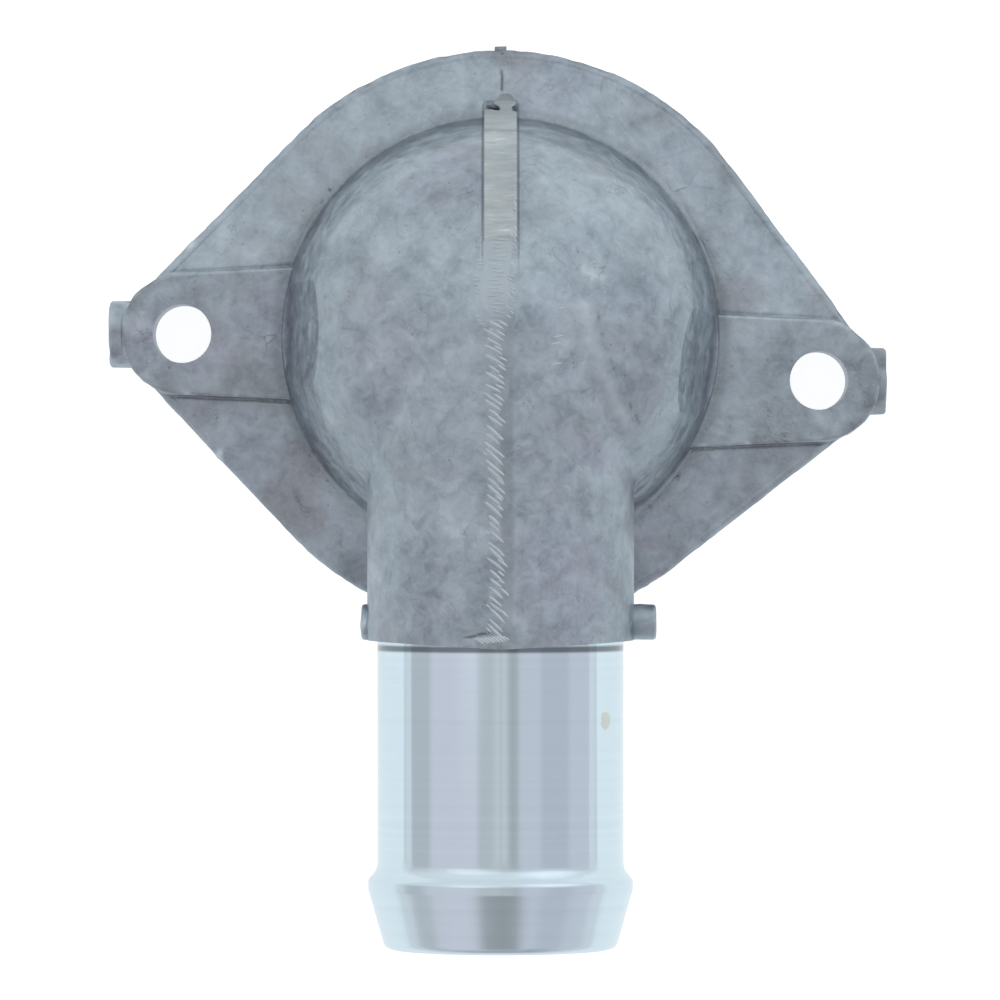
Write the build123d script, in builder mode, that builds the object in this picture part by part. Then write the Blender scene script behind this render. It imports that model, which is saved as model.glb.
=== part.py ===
from build123d import *
from math import acos, atan, atan2, cos, degrees, hypot, radians, sin, tan
import os

# Coolant thermostat housing: a die-cast domed cover with two bolt ears and a hose neck
# All sizes are in millimetres
# The origin is where the thermostat's axis meets the milled joint face
# +Z points away from the engine, and the hose neck points along -Y

# Round cover and the web that slopes up from its rim to the dome
cover_radius = 38.0
flange_thickness = 6.5
rim_land = 1.2
rim_edge_radius = 0.8
web_rise = 2.4

# Dome over the thermostat: half an ellipse over a drafted wall that is tangent to it
dome_radius = 26.0
dome_centre_height = 20.0
dome_crown_height = 37.0
dome_draft = 13.5
dome_foot_fillet = 1.5
wall = 4.0
cavity_draft = 7.5

# Bolt ears: the line through the bolts is turned a little, with the left ear high
bolt_spacing = 84.0
bolt_line_angle = -4.2
bolt_line_shift = -2.6
bolt_hole_diameter = 7.7
ear_radius = 7.8
pad_end_radius = 8.15
pad_height = 9.6
pad_draft = 3.0
pad_edge_radius = 0.6

# Room for a bolt head and its socket: a leaning flat on the dome beside each ear
wrench_flat_distance = 28.1
wrench_flat_draft = 14.5
wrench_foot_fillet = 2.5

# Ejector bosses on the ear ends and on the sides of the neck
ear_boss_diameter = 9.0
ear_boss_clearance = 0.1
left_ear_boss_projection = 1.6
right_ear_boss_projection = 0.9
neck_boss_diameter = 4.7
left_neck_boss_projection = 0.75
right_neck_boss_projection = 2.9
boss_edge_radius = 0.5

# Cast part of the hose neck, which runs into the dome and ends there as a ball
tube_radius = 17.35
neck_height = 22.0
shoulder_reach = 40.5
parting_draft = 3.0
crease_fillet = 2.0

# Turned hose spigot with its one-sided bead
neck_diameter = 32.0
neck_bore_diameter = 26.5
neck_reach = 79.7
bead_diameter = 34.4
bead_crest_width = 1.3
bead_flare_length = 1.3
bead_flare_radius = 2.0
bead_crest_radius = 0.9
lead_in_length = 7.8
lead_in_taper = 15.8
tip_edge_radius = 1.3
mouth_chamfer = 0.4

# Thermostat recess in the joint face
thermostat_diameter = 54.0
thermostat_clearance = 0.3
thermostat_recess_depth = 3.2

# Stub of the ground-off gate on the parting line, and the flash nub at the rim
gate_width = 4.4
gate_stand_out = 0.8
gate_start = 31.2
gate_lip_height = 1.6
gate_arc = 70.0
nub_width = 1.6
nub_stand_out = 0.5

# Radii and heights that follow from the sizes above
neck_radius = neck_diameter / 2
bead_radius = bead_diameter / 2
neck_bore_radius = neck_bore_diameter / 2
web_top = flange_thickness + web_rise
web_rim = cover_radius - rim_land
ear_rim = ear_radius - rim_land
dome_rise = dome_crown_height - dome_centre_height
recess_radius = thermostat_diameter / 2 + thermostat_clearance
wrench_flat_lean = (dome_crown_height - pad_height) * tan(radians(wrench_flat_draft))
drafted_reach = shoulder_reach - tube_radius * tan(radians(parting_draft))

# The drafted wall leaves the dome's ellipse at this angle, and meets the web at this radius
wall_angle = degrees(atan(dome_rise / dome_radius * tan(radians(dome_draft))))
wall_top_radius = dome_radius * cos(radians(wall_angle))
wall_top_height = dome_centre_height + dome_rise * sin(radians(wall_angle))
dome_foot = wall_top_radius + (wall_top_height - web_top) * tan(radians(dome_draft))
dome_base = wall_top_radius + wall_top_height * tan(radians(dome_draft))
quarter_turn = 90

# The cavity is the dome less its wall
cavity_radius = dome_radius - wall
cavity_rise = dome_rise - wall
cavity_depth = dome_centre_height - thermostat_recess_depth
cavity_mouth_radius = cavity_radius + cavity_depth * tan(radians(cavity_draft))

# Each ear: its side, its bolt's centre, and how far the ejector boss stands out of its end
bolt_x = bolt_spacing / 2 * cos(radians(bolt_line_angle))
bolt_y = bolt_spacing / 2 * sin(radians(bolt_line_angle))
ears = (
    (-1, -bolt_x, bolt_line_shift - bolt_y, left_ear_boss_projection),
    (1, bolt_x, bolt_line_shift + bolt_y, right_ear_boss_projection),
)
bolt_centres = [(x, y) for side, x, y, projection in ears]


def ejector_boss(side, centre, diameter, root, reach):
    """A round boss along X, from its root inside the casting out to its reach."""
    with BuildPart() as boss:
        with BuildSketch(Plane.YZ.offset(side * root)):
            with Locations(centre):
                Circle(diameter / 2)
        extrude(amount=side * (reach - root))
        end_face = boss.faces().sort_by(Axis.X)[-1 if side > 0 else 0]
        fillet(end_face.edges(), boss_edge_radius)
    return boss.part


# Flange plate: the straight sides are common tangents of the round cover and the ears
with BuildPart() as flange_plate:
    with BuildSketch():
        Circle(cover_radius)
        with Locations(bolt_centres):
            Circle(ear_radius)
        make_hull()
    extrude(amount=flange_thickness)
    fillet(flange_plate.faces().sort_by(Axis.Z)[-1].edges(), rim_edge_radius)


# Raised pads under the bolt heads, which widen towards the parting plane
with BuildPart() as ear_pads:
    with BuildSketch():
        for side, x, y, projection in ears:
            pad_root = side * (dome_foot - dome_foot_fillet - wall)
            root_half_width = pad_end_radius + abs(x - pad_root) * tan(radians(pad_draft))
            with Locations((x, y)):
                Circle(pad_end_radius)
            with BuildLine():
                Polyline(
                    (x, y + pad_end_radius),
                    (pad_root, y + root_half_width),
                    (pad_root, y - root_half_width),
                    (x, y - pad_end_radius),
                    close=True,
                )
            make_face()
    extrude(amount=pad_height)
    fillet(ear_pads.faces().filter_by(Axis.Z).sort_by(Axis.Z)[-2:].edges(), pad_edge_radius)


# Cast tube: a round bar with a ball end, its free end drafted both ways from the parting plane
with BuildPart() as cast_tube:
    with BuildSketch(Plane.XZ):
        with Locations((0, neck_height)):
            Circle(tube_radius)
    extrude(amount=shoulder_reach)
    with BuildSketch():
        with BuildLine():
            Polyline(
                (-tube_radius, 0),
                (-tube_radius, -drafted_reach),
                (0, -shoulder_reach),
                (tube_radius, -drafted_reach),
                (tube_radius, 0),
                close=True,
            )
        make_face()
    extrude(amount=neck_height + tube_radius, mode=Mode.INTERSECT)
    with Locations((0, 0, neck_height)):
        Sphere(tube_radius)


# Turned spigot: the lathe profile from inside the cast tube to the open end
with BuildPart() as spigot:
    spigot_root = dome_radius
    crest_end = neck_reach - lead_in_length
    crest_start = crest_end - bead_crest_width
    flare_start = crest_start - bead_flare_length
    tip_radius = bead_radius - lead_in_length * tan(radians(lead_in_taper))
    with BuildSketch(Plane.YZ):
        with BuildLine():
            outside = FilletPolyline(
                (-spigot_root, neck_height + neck_radius),
                (-flare_start, neck_height + neck_radius),
                (-crest_start, neck_height + bead_radius),
                (-crest_end, neck_height + bead_radius),
                (-neck_reach, neck_height + tip_radius),
                (-neck_reach, neck_height),
                radius=[bead_flare_radius, bead_crest_radius, bead_crest_radius, tip_edge_radius],
            )
            Polyline(outside @ 1, (-spigot_root, neck_height), outside @ 0)
        make_face()
    revolve(axis=Axis((0, 0, neck_height), (0, 1, 0)))


# Stub of the gate: a ground rib that bridges the valley and follows the dome on the parting line
with BuildPart() as gate_stub:
    lip = flange_thickness + web_rise * (web_rim - gate_start) / (web_rim - dome_foot) + gate_lip_height
    with BuildSketch(Plane.YZ):
        with BuildLine():
            ground = EllipticalCenterArc(
                (0, dome_centre_height),
                dome_radius + gate_stand_out,
                dome_rise + gate_stand_out,
                start_angle=0,
                arc_size=gate_arc,
            )
            Polyline(
                ground @ 0,
                (gate_start, lip),
                (gate_start, flange_thickness),
                (cavity_radius, flange_thickness),
                (cavity_radius, dome_centre_height),
                ground @ 1,
            )
        make_face()
    extrude(amount=gate_width / 2, both=True)


# Wrench rooms: the space outside a flat that faces each bolt and leans into the dome, with a rounded foot
with BuildPart() as wrench_rooms:
    for side, x, y, projection in ears:
        bolt_distance = hypot(x, y)
        toward_bolt = Plane(
            (0, 0, 0),
            x_dir=(x / bolt_distance, y / bolt_distance, 0),
            z_dir=(y / bolt_distance, -x / bolt_distance, 0),
        )
        with BuildSketch(toward_bolt):
            with BuildLine():
                flat = FilletPolyline(
                    (bolt_distance, pad_height),
                    (wrench_flat_distance, pad_height),
                    (wrench_flat_distance - wrench_flat_lean, dome_crown_height),
                    radius=wrench_foot_fillet,
                )
                Polyline(flat @ 1, (bolt_distance, dome_crown_height), flat @ 0)
            make_face()
        extrude(amount=dome_radius, both=True)


# Water space: thermostat recess, dome cavity, and the straight neck bore with its ball end
with BuildPart() as water_space:
    with BuildSketch(Plane.XZ):
        with BuildLine():
            inner_crown = EllipticalCenterArc(
                (0, dome_centre_height), cavity_radius, cavity_rise, arc_size=quarter_turn
            )
            Polyline(
                inner_crown @ 1,
                (0, 0),
                (recess_radius, 0),
                (recess_radius, thermostat_recess_depth),
                (cavity_mouth_radius, thermostat_recess_depth),
                inner_crown @ 0,
            )
        make_face()
    revolve(axis=Axis.Z)
    with BuildSketch(Plane.XZ):
        with Locations((0, neck_height)):
            Circle(neck_bore_radius)
    extrude(amount=neck_reach)
    with Locations((0, 0, neck_height)):
        Sphere(neck_bore_radius)


# Sloping web around the dome, with the fillet at the dome's foot, as one turned profile
with BuildPart() as web:
    with BuildSketch(Plane.XZ):
        with BuildLine():
            slope = FilletPolyline(
                (web_rim, flange_thickness),
                (dome_foot, web_top),
                (wall_top_radius, wall_top_height),
                radius=dome_foot_fillet,
            )
            Polyline(slope @ 1, (0, wall_top_height), (0, 0), (web_rim, 0), slope @ 0)
        make_face()
    revolve(axis=Axis.Z)


# Web in the ear corners, where its slope follows the straight sides of the flange
with BuildPart() as corner_web:
    slope_run = web_rim - dome_foot
    for side, x, y, projection in ears:
        toward_bolt = atan2(y, x)
        to_contact = acos((cover_radius - ear_radius) / hypot(x, y))
        contact_angles = (toward_bolt + to_contact, toward_bolt - to_contact)
        outward = [(cos(angle), sin(angle)) for angle in contact_angles]
        rim_contacts = [(web_rim * out_x, web_rim * out_y) for out_x, out_y in outward]
        ear_contacts = [(x + ear_rim * out_x, y + ear_rim * out_y) for out_x, out_y in outward]
        with BuildSketch():
            with BuildLine():
                Polyline((0, 0), rim_contacts[0], *ear_contacts, rim_contacts[1], close=True)
            make_face()
        extrude(amount=web_top)
        for (out_x, out_y), (rim_x, rim_y) in zip(outward, rim_contacts):
            side_plane = Plane(
                (rim_x, rim_y, flange_thickness),
                x_dir=(-out_x, -out_y, 0),
                z_dir=(-out_y, out_x, 0),
            )
            with BuildSketch(side_plane):
                with BuildLine():
                    Polyline((0, 0), (slope_run, web_rise), (0, web_rise), close=True)
                make_face()
            extrude(amount=bolt_spacing, both=True, mode=Mode.SUBTRACT)


with BuildPart() as housing_casting:
    # Dome, turned about the thermostat's axis
    with BuildSketch(Plane.XZ):
        with BuildLine():
            crown = EllipticalCenterArc(
                (0, dome_centre_height),
                dome_radius,
                dome_rise,
                start_angle=wall_angle,
                arc_size=quarter_turn - wall_angle,
            )
            Polyline(crown @ 1, (0, 0), (dome_base, 0), crown @ 0)
        make_face()
    revolve(axis=Axis.Z)

    # Hose neck run into the dome, with a fillet all along the crease between them
    add(cast_tube.part)
    fillet(housing_casting.edges(Select.NEW), crease_fillet)

    # Web, flange, pads, gate stub and turned spigot
    add(web.part)
    add(corner_web.part)
    add(flange_plate.part)
    add(ear_pads.part)
    add(gate_stub.part)
    add(spigot.part)

    # Flash nub where the parting line leaves the rim
    with BuildSketch():
        with Locations((0, cover_radius)):
            Rectangle(nub_width, 2 * nub_stand_out)
    extrude(amount=flange_thickness - rim_edge_radius)

    # Ejector bosses, one on the end of each ear and one on each side of the neck
    boss_height = ear_boss_diameter / 2 + ear_boss_clearance
    for side, x, y, projection in ears:
        ear_end = bolt_x + pad_end_radius
        add(ejector_boss(side, (y, boss_height), ear_boss_diameter, bolt_x, ear_end + projection))
    neck_boss_y = neck_boss_diameter / 2 - drafted_reach
    for side, projection in ((-1, left_neck_boss_projection), (1, right_neck_boss_projection)):
        boss_centre = (neck_boss_y, neck_height)
        boss_reach = tube_radius + projection
        add(ejector_boss(side, boss_centre, neck_boss_diameter, neck_bore_radius, boss_reach))

    # Wrench rooms, then the bolt holes and the water space
    add(wrench_rooms.part, mode=Mode.SUBTRACT)
    with Locations([(x, y, pad_height) for x, y in bolt_centres]):
        Hole(bolt_hole_diameter / 2)
    add(water_space.part, mode=Mode.SUBTRACT)

    # Turned chamfer inside the open end of the neck
    mouth = housing_casting.faces().sort_by(Axis.Y)[0].edges().sort_by(SortBy.LENGTH)[0]
    chamfer(mouth, mouth_chamfer)

housing_casting.part.label = "housing_casting"
os.makedirs("parts", exist_ok=True)
export_step(housing_casting.part, "parts/housing_casting.step")
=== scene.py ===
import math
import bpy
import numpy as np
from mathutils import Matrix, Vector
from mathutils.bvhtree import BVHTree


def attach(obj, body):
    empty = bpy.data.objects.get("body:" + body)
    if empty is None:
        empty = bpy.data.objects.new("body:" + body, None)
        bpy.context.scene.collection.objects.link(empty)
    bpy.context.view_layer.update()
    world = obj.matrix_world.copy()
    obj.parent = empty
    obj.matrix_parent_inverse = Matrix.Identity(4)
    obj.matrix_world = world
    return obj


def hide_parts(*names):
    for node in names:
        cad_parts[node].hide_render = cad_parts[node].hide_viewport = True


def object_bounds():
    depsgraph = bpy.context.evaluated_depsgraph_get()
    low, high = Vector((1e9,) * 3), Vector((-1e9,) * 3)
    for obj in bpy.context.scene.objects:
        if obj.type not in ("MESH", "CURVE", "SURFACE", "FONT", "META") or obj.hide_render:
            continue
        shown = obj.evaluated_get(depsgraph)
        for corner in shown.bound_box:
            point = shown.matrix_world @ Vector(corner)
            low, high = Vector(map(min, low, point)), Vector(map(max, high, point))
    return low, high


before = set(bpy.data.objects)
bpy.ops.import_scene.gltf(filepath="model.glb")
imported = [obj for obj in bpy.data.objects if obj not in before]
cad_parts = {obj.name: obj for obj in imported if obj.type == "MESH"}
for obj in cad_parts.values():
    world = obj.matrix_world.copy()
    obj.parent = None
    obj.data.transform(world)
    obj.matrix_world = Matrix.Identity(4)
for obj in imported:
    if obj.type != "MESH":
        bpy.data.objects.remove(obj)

# %% [markdown]
# # A thermostat housing, straight from the die
# The part is one aluminium casting. Most of its skin is as it left the die, and three places were
# worked afterwards: the hose neck was turned, the gate was ground off, and the joint face was milled.
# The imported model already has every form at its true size. This lesson adds what a photograph shows
# beyond that: an uneven skin, torn flash and tool marks.

for default_object in ("Cube", "Camera", "Light"):
    if default_object in bpy.data.objects:
        bpy.data.objects.remove(bpy.data.objects[default_object], do_unlink=True)
casting_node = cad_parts["housing_casting"]
cad_box = [list(corner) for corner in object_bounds()]
print("CAD box in metres:", cad_box)

# %% [markdown]
# ## Places on the casting
# All places below are in millimetres, in the frame of the model: +Z is up, away from the engine, and
# the neck points along -Y. They could be read off the mesh each time, but named sizes are easier to
# follow. They repeat the sizes of the solid, so that a finish starts where its face starts. The land
# is the flat rim of the flange, which is 6.5 mm up.

# %% Places on the casting, in millimetres
MM = 0.001
NECK_HEIGHT = 22.0
NECK_RADIUS = 16.0
BORE_RADIUS = 13.25
SHOULDER = -40.5
CAST_RADIUS = 17.35
HOLE_RADIUS = 3.85
BOLTS = ((-41.887, 0.476), (41.887, -5.676))
DOME_BASE, DOME_RISE, DOME_RADIUS = 20.0, 17.0, 26.0
DOME_FOOT = 28.96
WEB_RIM = 36.8
WEB_RIM_HEIGHT = 6.5
WEB_RISE = 2.4
PAD_HALF_WIDTH = 8.15
PAD_LEAN = math.tan(math.radians(3))
GATE_HALF_WIDTH = 2.2
GATE_INNER_END = 9.2
GATE_LIP = 31.2
GATE_BREAK = 29.6
PITTED_SPOT = (11.5, 7.9)
COVER_RADIUS = 38.0
EAR_RADIUS = 7.8
NICKS = ((-40.7, 12.0), (-37.0, -15.5), (18.3, -34.2), (-17.6, -37.6))
UNDER_LAND, OVER_LAND = 6.2, 6.6
PAD_EDGE_TOP = 9.9
ON_CROWN = 30.0


def neck_distance(p):
    """How far each point is from the axis of the hose neck."""
    return np.hypot(p[:, 0], p[:, 2] - NECK_HEIGHT)


print("bolts", 2 * BOLTS[1][0], "mm apart along X")

# %% [markdown]
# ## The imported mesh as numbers
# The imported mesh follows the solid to 0.03 mm. It could be edited as a mesh object, tool by tool.
# Arrays of numbers are quicker for a whole skin, because one formula then moves every point at once.
# Points on a seam are stored more than once, so they are joined first.

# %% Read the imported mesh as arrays
def read_mesh(obj):
    """Points in mm with the seams joined, triangles, and the normal at each corner of each triangle."""
    mesh = obj.data
    mesh.calc_loop_triangles()
    points = np.empty(len(mesh.vertices) * 3, np.float32)
    mesh.vertices.foreach_get("co", points)
    tris = np.empty(len(mesh.loop_triangles) * 3, np.int32)
    mesh.loop_triangles.foreach_get("vertices", tris)
    loops = np.empty(len(mesh.loop_triangles) * 3, np.int32)
    mesh.loop_triangles.foreach_get("loops", loops)
    normals = np.empty(len(mesh.loops) * 3, np.float32)
    mesh.corner_normals.foreach_get("vector", normals)
    normals = normals.reshape(-1, 3)[loops].reshape(-1, 3, 3).astype(float)
    whole_steps = np.round(points.reshape(-1, 3) * 1e6).astype(np.int64)
    _, first, joined = np.unique(whole_steps, axis=0, return_index=True, return_inverse=True)
    points = points.reshape(-1, 3)[first].astype(float) / MM
    tris = joined.reshape(-1)[tris].reshape(-1, 3)
    real = (tris[:, 0] != tris[:, 1]) & (tris[:, 1] != tris[:, 2]) & (tris[:, 2] != tris[:, 0])
    return points, tris[real], normals[real]


points, tris, normals = read_mesh(casting_node)
print(len(points), "points and", len(tris), "triangles as packed")


# %% [markdown]
# ## Lines that the marks follow
# On the casting, the web rounds off beside the pads, the rim has a narrow flat land, and a seam runs
# down the dome where two streams of metal met. They could be drawn as curves. The distance from each
# line is enough, though: it says how fine the mesh has to be there, and how deep a mark cuts.

# %% Where the web's slope rounds over
def step(value, low, high):
    """0 below low, 1 above high, and a smooth rise between."""
    t = np.clip((value - low) / (high - low), 0, 1)
    return t * t * (3 - 2 * t)


def web_corners(p):
    """How far the web is rounded off where its slope meets the level corner beside each pad."""
    x, y, z = p.T
    deepest, half_width = 0.22, 3.0
    off = np.zeros(len(p))
    for bx, by in BOLTS:
        toward_bolt = math.atan2(by, bx)
        to_contact = math.acos((COVER_RADIUS - EAR_RADIUS) / math.hypot(bx, by))
        for turned_by in (to_contact, -to_contact):
            angle = toward_bolt + turned_by
            depth = WEB_RIM - (x * math.cos(angle) + y * math.sin(angle))
            past_contact = (y * math.cos(angle) - x * math.sin(angle)) * math.copysign(1, -turned_by)
            from_edge = np.abs(depth - (WEB_RIM - DOME_FOOT)) / half_width
            rounded = deepest * np.clip(1 - from_edge, 0, 1) ** 2
            off = np.maximum(off, rounded * step(past_contact, 0.0, 1.5))
    return off * (z > OVER_LAND) * (z < 9.3) * (np.hypot(x, y) > DOME_FOOT + 0.6)


print("web rounded off by up to", round(float(web_corners(points).max()), 2), "mm")


# %% Where the rim and the dome's flow seam lie
def outline_depth(p):
    """How far each point lies inside the flange's outline, seen from above."""
    depth = np.full(len(p), np.inf)
    for angle in np.radians(np.arange(0, 360, 3)):
        ears = [bx * math.cos(angle) + by * math.sin(angle) + EAR_RADIUS for bx, by in BOLTS]
        reach = max(COVER_RADIUS, *ears)
        depth = np.minimum(depth, reach - p[:, 0] * math.cos(angle) - p[:, 1] * math.sin(angle))
    return depth


SEAM_START, SEAM_LEAN, SEAM_CURVE, SEAM_LENGTH = (12.25, 3.95), 0.14, 0.0145, 14


def dome_seam(p):
    """How far each point is to the right of the dome's flow seam, and 0 to 1 for how much shows."""
    x, y, z = p.T
    down = SEAM_START[1] - y
    line = SEAM_START[0] + SEAM_LEAN * down + SEAM_CURVE * down ** 2
    shows = step(down, -0.6, 0.6) * (1 - step(down, SEAM_LENGTH, SEAM_LENGTH + 4)) * (x > 5) * (z > 24)
    return x - line, shows


print(int((dome_seam(points)[1] > 0).sum()), "packed points lie where the seam shows")


# %% [markdown]
# ## From packed facets to a finer skin
# The facets are up to several millimetres long, and dents of a millimetre need smaller ones. A voxel
# remesh would blur the crisp turned edges, and a plain subdivision would keep the facets flat. So
# long edges are halved instead, and each new point is put on the curve that its edge stands for. The
# normals at the edge's ends say how it bends.

# %% The middle of a curved edge
def unit(v):
    return v / np.maximum(np.linalg.norm(v, axis=-1, keepdims=True), 1e-12)


def dot(a, b):
    return (a * b).sum(-1, keepdims=True)


def curved_middle(a, b, normal_a, normal_b):
    """The middle of the curve from a to b: on a face if both sides agree, and along a ridge if not."""
    along = b - a
    bulge = np.zeros_like(a)
    for side in (0, 1):
        na, nb = normal_a[:, side], normal_b[:, side]
        bulge -= (dot(along, na) * na - dot(along, nb) * nb) / 16
    ridge_a, ridge_b = (np.cross(n[:, 0], n[:, 1]) for n in (normal_a, normal_b))
    sharp, most_bulge = 0.25, 0.12
    is_ridge = np.minimum(np.linalg.norm(ridge_a, axis=1), np.linalg.norm(ridge_b, axis=1)) > sharp
    tangent_a, tangent_b = (unit(r * np.sign(dot(r, along))) for r in (ridge_a, ridge_b))
    ridge_bulge = (tangent_a - tangent_b) * np.linalg.norm(along, axis=1)[:, None] / 8
    bulge[is_ridge] = ridge_bulge[is_ridge]
    size = np.linalg.norm(bulge, axis=1, keepdims=True)
    return (a + b) / 2 + bulge * np.minimum(1, most_bulge / np.maximum(size, 1e-9))


print("length of the first three normals:", np.linalg.norm(normals[:3, 0], axis=1).round(3).tolist())


# %% Halve the long edges
def halve_long_edges(points, tris, normals, limit):
    """One round. limit(places) gives the longest edge that may stay at each place."""
    nxt = [1, 2, 0]
    start, end = tris, tris[:, nxt]
    key = np.minimum(start, end).astype(np.int64) * len(points) + np.maximum(start, end)
    edges, edge_of = np.unique(key, return_inverse=True)
    edge_of = edge_of.reshape(-1, 3)
    low, high = edges // len(points), edges % len(points)
    gap = np.linalg.norm(points[high] - points[low], axis=1)
    too_long = gap > limit((points[low] + points[high]) / 2)

    flip = (start > end)[..., None]
    at_low = np.where(flip, normals[:, nxt], normals).reshape(-1, 3)
    at_high = np.where(flip, normals, normals[:, nxt]).reshape(-1, 3)
    order = np.argsort(edge_of.ravel(), kind="stable")
    firsts = np.searchsorted(edge_of.ravel()[order], np.arange(len(edges)))
    lasts = np.append(firsts[1:], len(order)) - 1
    sides = np.stack([order[firsts], order[lasts]], 1)
    chosen = np.flatnonzero(too_long)
    middle = curved_middle(points[low[chosen]], points[high[chosen]],
                           at_low[sides[chosen]], at_high[sides[chosen]])
    new_index = np.full(len(edges), -1)
    new_index[chosen] = len(points) + np.arange(len(chosen))
    mid = new_index[edge_of]
    along = unit(points[end] - points[start])
    mid_normals = normals + normals[:, nxt]
    mid_normals = unit(mid_normals - dot(mid_normals, along) * along)

    split = mid >= 0
    count = split.sum(1)
    turn = np.where(count == 1, split.argmax(1), np.where(count == 2, ((~split).argmax(1) + 1) % 3, 0))
    roll = (np.arange(3)[None] + turn[:, None]) % 3
    corner = np.take_along_axis(tris, roll, 1)
    mid = np.take_along_axis(mid, roll, 1)
    n_corner = np.take_along_axis(normals, roll[..., None], 1)
    n_mid = np.take_along_axis(mid_normals, roll[..., None], 1)
    ids, ns = np.concatenate([corner, mid], 1), np.concatenate([n_corner, n_mid], 1)
    all_points = np.concatenate([points, middle])
    across = np.linalg.norm(all_points[ids[:, 0]] - all_points[ids[:, 4]], axis=1)
    other = np.linalg.norm(all_points[ids[:, 3]] - all_points[ids[:, 2]], axis=1)
    patterns = [
        (count == 0, [(0, 1, 2)]),
        (count == 1, [(0, 3, 2), (3, 1, 2)]),
        ((count == 2) & (across <= other), [(3, 1, 4), (0, 3, 4), (0, 4, 2)]),
        ((count == 2) & (across > other), [(3, 1, 4), (0, 3, 2), (3, 4, 2)]),
        (count == 3, [(0, 3, 5), (3, 1, 4), (5, 4, 2), (3, 4, 5)]),
    ]
    new_tris = np.concatenate([ids[where][:, list(t)] for where, many in patterns for t in many])
    new_normals = np.concatenate([ns[where][:, list(t)] for where, many in patterns for t in many])
    return all_points, new_tris, new_normals, len(chosen)


# %% [markdown]
# ## Fine only where it shows
# Triangles as small as the smallest mark would number millions over the whole casting. Turned and
# hidden faces need none at all, the plain skin needs a few, and the strip, the seams and the chips
# need many. So each place gets its own longest edge, in millimetres, and a later line in the list
# wins over an earlier one.

# %% How fine the skin has to be at each place
AS_PACKED = 200.0


def off_pad_side(x, y, bx, by):
    """How far each point lies outside the nearer side of a pad, whose sides lean apart to the dome."""
    return np.abs(y - by) - PAD_HALF_WIDTH - (np.abs(bx) - np.abs(x)) * PAD_LEAN


def edge_limit(p):
    """The longest edge in mm. Fine where a dent or a torn lip shows, and as packed where nothing does."""
    x, y, z = p.T
    r = np.hypot(x, y)
    on_crown = z > ON_CROWN
    on_gate = (np.abs(x) < 2.6) & (y > GATE_INNER_END - 1) & (z > 6.4)
    off_spot = np.hypot(x - PITTED_SPOT[0], y - PITTED_SPOT[1])
    off_seam, seam_shows = dome_seam(p)
    finer = [
        (on_gate, 0.8),  # the ground strip
        (on_gate & (y < GATE_INNER_END + 6), 0.4),  # its end on the dome
        (on_gate & (y > GATE_BREAK - 0.8) & (y < GATE_LIP + 1.3), 0.38),  # its torn end
        ((off_spot < 2.2) & on_crown, 0.36),
        ((r > 7) & (r < 15) & (y > 3) & on_crown, 1.6),  # the crease at the elbow's end
        (web_corners(p) > 0, 1.0),
        ((outline_depth(p) < 2.2) & (z > 4.6) & (z < 7.6), 1.0),  # the flange's rim
        ((seam_shows > 0) & (np.abs(off_seam + 1.2) < 2.6), 1.0),
        ((seam_shows > 0) & (np.abs(off_seam) < 0.7), 0.36),
        ((np.abs(y + 38.8) < 1.0) & (x > -5.6) & (x < -1.0) & on_crown, 0.32),  # the shoulder's flap
        ((x > -0.5) & (x < 8) & (y > 32) & (y < 35.5) & (z > 6), 0.6),  # scrapes beside the gate
    ]
    finer += [((np.hypot(x - nick_x, y - nick_y) < 1.4) & (z > 0.05), 0.45) for nick_x, nick_y in NICKS]
    limit = np.where(z < 4.6, 3.6, 2.6)
    for where, longest in finer:
        limit[where] = longest
    in_cavity = (r / 24.5) ** 2 + ((z - 20) / 13.6) ** 2 < 1
    in_bore = (neck_distance(p) < BORE_RADIUS + 0.1) & (y < 0.5)
    in_recess = (r < 27.5) & (z < 3.3)
    as_packed = (y < SHOULDER - 0.6) | (z < 0.3) | in_recess | in_cavity | in_bore
    for bx, by in BOLTS:
        off = np.abs(off_pad_side(x, y, bx, by))
        beside_pad = (off < 2.4) & (x * bx > 0) & (np.abs(x) < np.abs(bx) + 3) & (r > DOME_FOOT - 1)
        beside_pad &= (z > UNDER_LAND) & (z < PAD_EDGE_TOP)
        limit[beside_pad] = np.minimum(limit, np.maximum(0.44, 0.9 * off))[beside_pad]
        as_packed |= np.hypot(x - bx, y - by) < HOLE_RADIUS + 0.02
    limit[as_packed] = AS_PACKED
    return limit


for round_number in range(1, 10):
    points, tris, normals, halved = halve_long_edges(points, tris, normals, edge_limit)
    print("round", round_number, "halved", halved, "edges:", len(tris), "triangles")
    if not halved:
        break

# %% [markdown]
# ## What the die and the grinder left
# A die-cast skin isn't true: it waves by a few hundredths of a millimetre where the metal shrank,
# and has small pits. The ground gate ends in a torn lip, the pads have seams at their feet, and the
# rim is ragged. All this could be sculpted by hand, but then nothing could be changed later. Here
# each mark is a height over the skin, worked out at any point in space, so the same formula also
# gives the slope that bends the normals.

# %% A smooth random field, the same on every run
def field(p, cell, seed):
    """Random values from -1 to 1 on a lattice of this cell size in mm, joined smoothly."""
    size, far_from_zero = 64, 200.5
    table = np.random.RandomState(seed).uniform(-1, 1, (size, size, size))
    q = p / cell + far_from_zero
    base = np.floor(q).astype(int)
    f = q - base
    f = f * f * (3 - 2 * f)
    total = np.zeros(len(p))
    for i in (0, 1):
        for j in (0, 1):
            for k in (0, 1):
                weight = np.abs(1 - i - f[:, 0]) * np.abs(1 - j - f[:, 1]) * np.abs(1 - k - f[:, 2])
                at = (base + (i, j, k)) % size
                total += weight * table[at[:, 0], at[:, 1], at[:, 2]]
    return total


print("three values of the field:", field(points[:3], 5.5, 11).round(2).tolist())


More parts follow.
